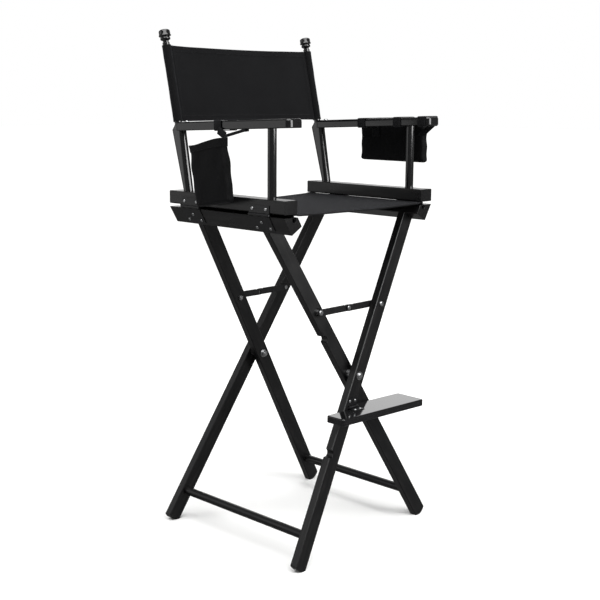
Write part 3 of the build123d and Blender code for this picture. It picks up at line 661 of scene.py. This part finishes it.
def bagPoint(bag, angleShare, t, outset=0.0):
    # angleShare runs once round the bag and t from its bottom to its mouth
    halfX, halfY, height = (bag["size"][0] / 2 - 0.6, bag["size"][1] / 2 - 0.6, bag["size"][2])
    angle = 2 * math.pi * angleShare
    c, s = math.cos(angle), math.sin(angle)
    power = 0.28
    x = math.copysign(abs(c) ** power, c)
    y = math.copysign(abs(s) ** power, s)
    belly = 0.62 + 0.38 * math.sin(math.pi * min(1.0, 0.18 + t * 0.72)) ** 0.8
    closeIn = math.sqrt(max(0.0, 1 - (1 - min(t / 0.07, 1.0)) ** 2))
    depth = halfX * belly * (0.25 + 0.75 * closeIn)
    width = (halfY - 7 * (1 - closeIn)) * (1 - 0.025 * math.sin(math.pi * t))
    seed = bag["seed"]
    crease = math.sin(y * width / 9 + 4 * t + seed) * math.sin(t * 7 + seed * 2) + 0.6 * math.sin(
        y * width / 21 - t * 9 + seed)
    px = x * depth + bag["wrinkle"] * crease * 0.5 * (0.35 + t) * (1 if x > 0 else -1) * min(1, closeIn * 2)
    px = max(-halfX - 0.8, min(halfX + 0.8, px)) + x * outset
    py = y * width + bag["wrinkle"] * 0.5 * math.sin(t * 17 + seed) * abs(y) ** 6 * (1 if y > 0 else -1) + y * outset
    mouth = 2.2 * math.sin(y * 2.7 + seed) * smoothStep(0.8, 1.0, t)
    pz = -height / 2 + 1 + t * (height - 3) + mouth
    cosT, sinT = math.cos(bag["tilt"]), math.sin(bag["tilt"])
    return inPlace(bag["place"][0] + px, bag["place"][1] + py * cosT - pz * sinT,
                   bag["place"][2] + py * sinT + pz * cosT)


def bagShell(name, bag, low, high, levels, outset, thickness, closed):
    around = 160
    vertices, coordinates, faces = [], [], []
    girth = 2 * (bag["size"][0] + bag["size"][1])
    for j in range(levels + 1):
        t = low + (high - low) * (j / levels)
        if closed:
            t = high * (0.5 * (j / levels) ** 2 + 0.5 * (j / levels))
        for i in range(around):
            vertices.append(bagPoint(bag, i / around, t, outset))
            coordinates.append((i / around * girth * mm, t * bag["size"][2] * mm))
    for j in range(levels):
        for i in range(around):
            k = (i + 1) % around
            faces.append((j * around + i, j * around + k, (j + 1) * around + k, (j + 1) * around + i))
    if closed:
        faces.append(tuple(range(around))[::-1])
    piece = meshObject(name, vertices, faces, bagCloth)
    setCloth(piece, coordinates)
    shell = piece.modifiers.new("wall", "SOLIDIFY")
    shell.thickness = thickness * mm
    shell.offset = -1.0
    applyModifiers(piece)
    shadeSmooth(piece, 60)
    return piece


def bagRows(bag, levels, outset):
    return [[bagPoint(bag, k / 200, t, outset) for k in range(201)] for t in levels]


for bag in (bagLeft, bagRight):
    label = bag["node"].replace("bag_", "bag")
    shell = bagShell(label + "Shell", bag, 0.0, 1.0, 60, 0.0, 1.5, True)
    hem = bagShell(label + "Hem", bag, 0.88, 1.004, 12, 0.9, 1.6, False)
    rows = stitchRows(label + "Stitches", bagRows(bag, (0.892, 0.99), 1.15), 4.5)
    for piece in (shell, hem, rows):
        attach(piece, bag["body"])
    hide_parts(bag["node"])
print("bags made")


# straps over the arms

straps = {
    "right": (3.0, -106.0, -178.0), "left": (12.0, -72.0), "width": 23.0, "thick": 1.7, "gap": 1.3,
    "reach": 31.0, "snug": 24.2, "bagFront": -134.0, "tieWidths": (17.0, 6.5, 13.0),
}


def armPoint(side, x, y, z):
    # x runs outward from the arm's middle, y along it and z up from its underside
    cosT, sinT = math.cos(chair["armTilt"]), math.sin(chair["armTilt"])
    localY = y - chair["armMidY"]
    return inPlace(side * (chair["postX"] + x), chair["armMidY"] + localY * cosT + z * sinT,
                   chair["armBottom"] - localY * sinT + z * cosT)


def strapLoop(name, side, y, reach):
    low, high = -straps["gap"], chair["armThick"] + straps["gap"]
    inner, outer = -chair["armHalf"] - straps["gap"], reach - 0.8
    corners = [armPoint(side, x, y, z) for x, z in ((inner, low), (outer, low), (outer, high), (inner, high))]
    widthAxis = (armPoint(side, 0, y + 1, 0) - armPoint(side, 0, y, 0)).normalized()
    return band(name, roundedPath(corners, 3.0), widthAxis, straps["width"], straps["thick"], webbing,
                closed=True)


made = []
for k, y in enumerate(straps["right"]):
    reach = straps["reach"] if y > straps["bagFront"] else straps["snug"]
    loop = strapLoop(f"strapRight{k}", 1, y, reach)
    slant = max(0.0, straps["bagFront"] - y)
    path = [armPoint(1, reach + (straps["reach"] - reach) * t - 0.6, y + slant * t, 4 - 28 * t)
            for t in (0.0, 0.3, 0.6, 1.0)]
    tab = band(f"strapTabRight{k}", path, Vector((0, 1, 0)), straps["width"], straps["thick"], webbing)
    made += [(loop, "right_side"), (tab, "right_side")]
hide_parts("bag_straps_right")
meet = inPlace(-254.0, -20.0, 911.0)
corner = inPlace(-263.0, -32.0, 896.0)
loop = strapLoop("strapLeft", -1, straps["left"][0], straps["snug"])
ends = [armPoint(-1, 12.0, straps["left"][1], -straps["gap"]), armPoint(-1, 24.0, straps["left"][1] + 3, -2.4)]
ties = [[armPoint(-1, straps["snug"] - 0.6, straps["left"][0] - 2, -0.4), meet],
        ends + [meet], [meet, corner]]
made.append((loop, "left_side"))
for k, points in enumerate(ties):
    path = []
    for start, end in zip(points, points[1:]):
        path += [start.lerp(end, i / 8) for i in range(8)]
    path.append(points[-1])
    cross = (path[-1] - path[0]).cross(Vector((1, 0, 0))).normalized()
    tie = band(f"strapTieLeft{k}", path, cross, straps["tieWidths"][k], straps["thick"], webbing)
    made.append((tie, "left_side"))
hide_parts("bag_straps_left")
for piece, body in made:
    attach(piece, body)
print("straps made")


# floor, light and camera

studio = {
    "floor": "#F7F7F6", "floorHalf": 30, "backdrop": 1.0, "ambient": 0.17,
    "sun": 3.6, "sunWidth": math.radians(70),
    "left": 8.0, "key": 8.0, "right": 72.0, "back": 9.0,
}

paper = startMaterial("palePaper", 0.95, 0.1)[0]
paper.node_tree.nodes["Principled BSDF"].inputs["Base Color"].default_value = toLinear(studio["floor"])
wide = studio["floorHalf"]
floor = meshObject("floor", [(-wide, -wide, 0), (wide, -wide, 0), (wide, wide, 0), (-wide, wide, 0)],
                   [(0, 1, 2, 3)], paper)
floor.visible_glossy = False    # the lacquer mirrors the soft boxes, not the white paper

# the room is white to look at, and lights the chair more dimly than it looks
world = bpy.data.worlds.new("studio")
bpy.context.scene.world = world
world.use_nodes = True
room = world.node_tree
seen = addNode(room, "ShaderNodeLightPath")
strength = addNode(room, "ShaderNodeMapRange", None,
                   {0: seen.outputs["Is Camera Ray"], 3: studio["ambient"], 4: studio["backdrop"]})
room.nodes["Background"].inputs["Color"].default_value = (1, 1, 1, 1)
room.links.new(strength.outputs[0], room.nodes["Background"].inputs["Strength"])

sunData = bpy.data.lights.new("sun", "SUN")
sunData.energy = studio["sun"]
sunData.angle = studio["sunWidth"]
sun = bpy.data.objects.new("sun", sunData)
bpy.context.collection.objects.link(sun)
sun.rotation_euler = (math.radians(12), math.radians(-14), 0)


def softLight(name, place, target, size, watts):
    data = bpy.data.lights.new(name, "AREA")
    data.shape = "SQUARE"
    data.size = size
    data.energy = watts
    light = bpy.data.objects.new(name, data)
    bpy.context.collection.objects.link(light)
    light.visible_camera = False
    light.location = place
    light.rotation_euler = (Vector(target) - Vector(place)).to_track_quat("-Z", "Y").to_euler()


softLight("left", (-2.3, 2.1, 1.3), (0, 0, 0.8), 2.2, studio["left"])
softLight("key", (-2.4, -1.2, 2.6), (0, 0, 0.7), 0.8, studio["key"])
softLight("right", (0.5, -2.6, 1.75), (0, 0, 1.1), 1.9, studio["right"])
softLight("back", (1.95, 1.7, 1.3), (0, 0, 0.6), 1.7, studio["back"])

view = {"place": (-1.80234, -1.73727, 0.9905), "yaw": 0.8, "pitch": -0.165, "roll": 0.0069,
        "lens": 66.115, "shift": -0.0312}
level = math.cos(view["pitch"])
forward = Vector((math.sin(view["yaw"]) * level, math.cos(view["yaw"]) * level, math.sin(view["pitch"])))
right = Vector((math.cos(view["yaw"]), -math.sin(view["yaw"]), 0))
above = right.cross(forward)
cosR, sinR = math.cos(view["roll"]), math.sin(view["roll"])
turnedRight = right * cosR + above * sinR
turnedUp = above * cosR - right * sinR
turn = Matrix((turnedRight, turnedUp, -forward)).transposed().to_4x4()
cameraData = bpy.data.cameras.new("camera")
camera = bpy.data.objects.new("camera", cameraData)
bpy.context.collection.objects.link(camera)
camera.matrix_world = Matrix.Translation(view["place"]) @ turn
cameraData.sensor_width = 36
cameraData.lens = view["lens"]
cameraData.shift_y = view["shift"]
bpy.context.scene.camera = camera
bpy.context.scene.view_settings.view_transform = "Standard"
